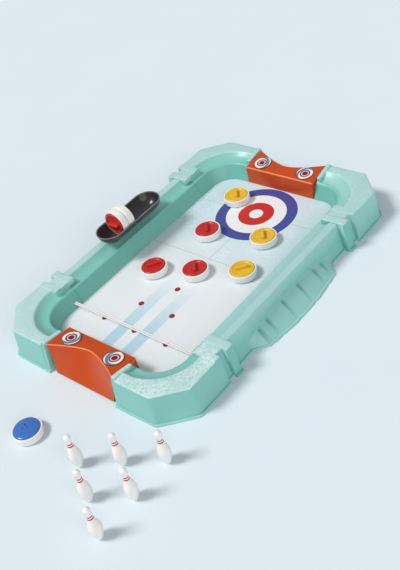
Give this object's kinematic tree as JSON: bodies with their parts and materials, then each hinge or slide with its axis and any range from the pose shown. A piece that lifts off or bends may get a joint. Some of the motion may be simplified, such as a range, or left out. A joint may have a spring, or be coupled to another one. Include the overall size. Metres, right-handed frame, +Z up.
{
  "type": "curling and bowling game",
  "caption": "Tabletop curling and bowling game: oblong rink in a wide moulded rim, end blocks, elastic launch cord, sliding pucks, hook-on puck rack and pins beside it.",
  "frame": {"origin": "centre of the board on the table plane, on the underside of the bar across its middle", "axes": "+Y along the rink towards the target end, +Z up from the table, +X to the right seen from the launch end"},
  "size_m": [0.284, 0.5079, 0.0663],
  "materials": {
    "mint_plastic": "moulded mint plastic, satin",
    "orange_plastic": "moulded orange plastic, gloss",
    "printed_board": "printed ice board, laminated",
    "emblem_print": "printed plate",
    "screw_steel": "zinc-plated",
    "elastic": "white braided elastic",
    "black_plastic": "moulded black plastic",
    "white_plastic": "moulded white plastic",
    "red_plastic": "moulded red plastic",
    "yellow_plastic": "moulded yellow plastic",
    "blue_plastic": "moulded blue plastic, high gloss",
    "pin_plastic": "moulded white plastic with red neck rings"
  },
  "bodies": {
    "board": {"rink_bed": "printed_board", "bed_support_bar": "mint_plastic", "near_end_frame": "mint_plastic", "far_end_frame": "mint_plastic", "left_side_rail": "mint_plastic", "right_side_rail": "mint_plastic", "near_end_block": "orange_plastic", "far_end_block": "orange_plastic", "near_left_emblem_plate": "emblem_print", "near_right_emblem_plate": "emblem_print", "far_left_emblem_plate": "emblem_print", "far_right_emblem_plate": "emblem_print", "near_left_block_screw": "screw_steel", "near_right_block_screw": "screw_steel", "far_left_block_screw": "screw_steel", "far_right_block_screw": "screw_steel"},
    "launch_cord": {"elastic_cord": "elastic"},
    "rack": {"puck_rack": "black_plastic"},
    "red_puck_1": {"red_puck_1_base": "white_plastic", "red_puck_1_cap": "red_plastic"},
    "red_puck_2": {"red_puck_2_base": "white_plastic", "red_puck_2_cap": "red_plastic"},
    "red_puck_3": {"red_puck_3_base": "white_plastic", "red_puck_3_cap": "red_plastic"},
    "yellow_puck_1": {"yellow_puck_1_base": "white_plastic", "yellow_puck_1_cap": "yellow_plastic"},
    "yellow_puck_2": {"yellow_puck_2_base": "white_plastic", "yellow_puck_2_cap": "yellow_plastic"},
    "yellow_puck_3": {"yellow_puck_3_base": "white_plastic", "yellow_puck_3_cap": "yellow_plastic"},
    "red_puck_4": {"red_puck_4_base": "white_plastic", "red_puck_4_cap": "red_plastic"},
    "yellow_puck_4": {"yellow_puck_4_base": "white_plastic", "yellow_puck_4_cap": "yellow_plastic"},
    "bowling_puck": {"bowling_puck_base": "white_plastic", "bowling_puck_cap": "blue_plastic"},
    "bowling_pin_1": {"bowling_pin_1": "pin_plastic"},
    "bowling_pin_2": {"bowling_pin_2": "pin_plastic"},
    "bowling_pin_3": {"bowling_pin_3": "pin_plastic"},
    "bowling_pin_4": {"bowling_pin_4": "pin_plastic"},
    "bowling_pin_5": {"bowling_pin_5": "pin_plastic"},
    "bowling_pin_6": {"bowling_pin_6": "pin_plastic"}
  },
  "joints": [
    {"name": "cord_draw", "type": "slide", "parent": "board", "child": "launch_cord", "axis": [0, -1, 0], "range_m": [0, 0.03], "stiffness_N_per_m": 60, "deforming": ["elastic_cord"]},
    {"name": "rack_lift", "type": "slide", "parent": "board", "child": "rack", "axis": [0, 0, 1], "range_m": [0, 0.04]},
    {"name": "red_puck_1_glide", "type": "slide", "parent": "board", "child": "red_puck_1", "axis": [0, 1, 0], "range_m": [-0.066, 0.026]},
    {"name": "red_puck_2_glide", "type": "slide", "parent": "board", "child": "red_puck_2", "axis": [0, 1, 0], "range_m": [-0.083, 0.149]},
    {"name": "red_puck_3_glide", "type": "slide", "parent": "board", "child": "red_puck_3", "axis": [0, 1, 0], "range_m": [-0.016, 0.029]},
    {"name": "yellow_puck_1_glide", "type": "slide", "parent": "board", "child": "yellow_puck_1", "axis": [0, 1, 0], "range_m": [-0.006, 0.02]},
    {"name": "yellow_puck_2_glide", "type": "slide", "parent": "board", "child": "yellow_puck_2", "axis": [0, 1, 0], "range_m": [-0.015, 0.072]},
    {"name": "yellow_puck_3_glide", "type": "slide", "parent": "board", "child": "yellow_puck_3", "axis": [0, 1, 0], "range_m": [-0.104, 0.008]},
    {"name": "red_puck_4_lift", "type": "slide", "parent": "rack", "child": "red_puck_4", "axis": [0, 0, 1], "range_m": [0, 0.04]},
    {"name": "yellow_puck_4_lift", "type": "slide", "parent": "rack", "child": "yellow_puck_4", "axis": [0, 0, 1], "range_m": [0, 0.04]},
    {"name": "bowling_puck_glide", "type": "slide", "parent": "board", "child": "bowling_puck", "axis": [1, 0, 0], "range_m": [0, 0.045]},
    {"name": "pin_1_tip", "type": "hinge", "parent": "board", "child": "bowling_pin_1", "pos_m": [0.06924, -0.262, 0], "axis": [0, 1, 0], "range_deg": [0, 69]},
    {"name": "pin_2_tip", "type": "hinge", "parent": "board", "child": "bowling_pin_2", "pos_m": [0.10454, -0.2843, 0], "axis": [0, 1, 0], "range_deg": [0, 69]},
    {"name": "pin_3_tip", "type": "hinge", "parent": "board", "child": "bowling_pin_3", "pos_m": [0.10454, -0.2397, 0], "axis": [0, 1, 0], "range_deg": [0, 69]},
    {"name": "pin_4_tip", "type": "hinge", "parent": "board", "child": "bowling_pin_4", "pos_m": [0.13984, -0.3066, 0], "axis": [0, 1, 0], "range_deg": [0, 69]},
    {"name": "pin_5_tip", "type": "hinge", "parent": "board", "child": "bowling_pin_5", "pos_m": [0.13984, -0.262, 0], "axis": [0, 1, 0], "range_deg": [0, 69]},
    {"name": "pin_6_tip", "type": "hinge", "parent": "board", "child": "bowling_pin_6", "pos_m": [0.13984, -0.2174, 0], "axis": [0, 1, 0], "range_deg": [0, 69]}
  ]
}
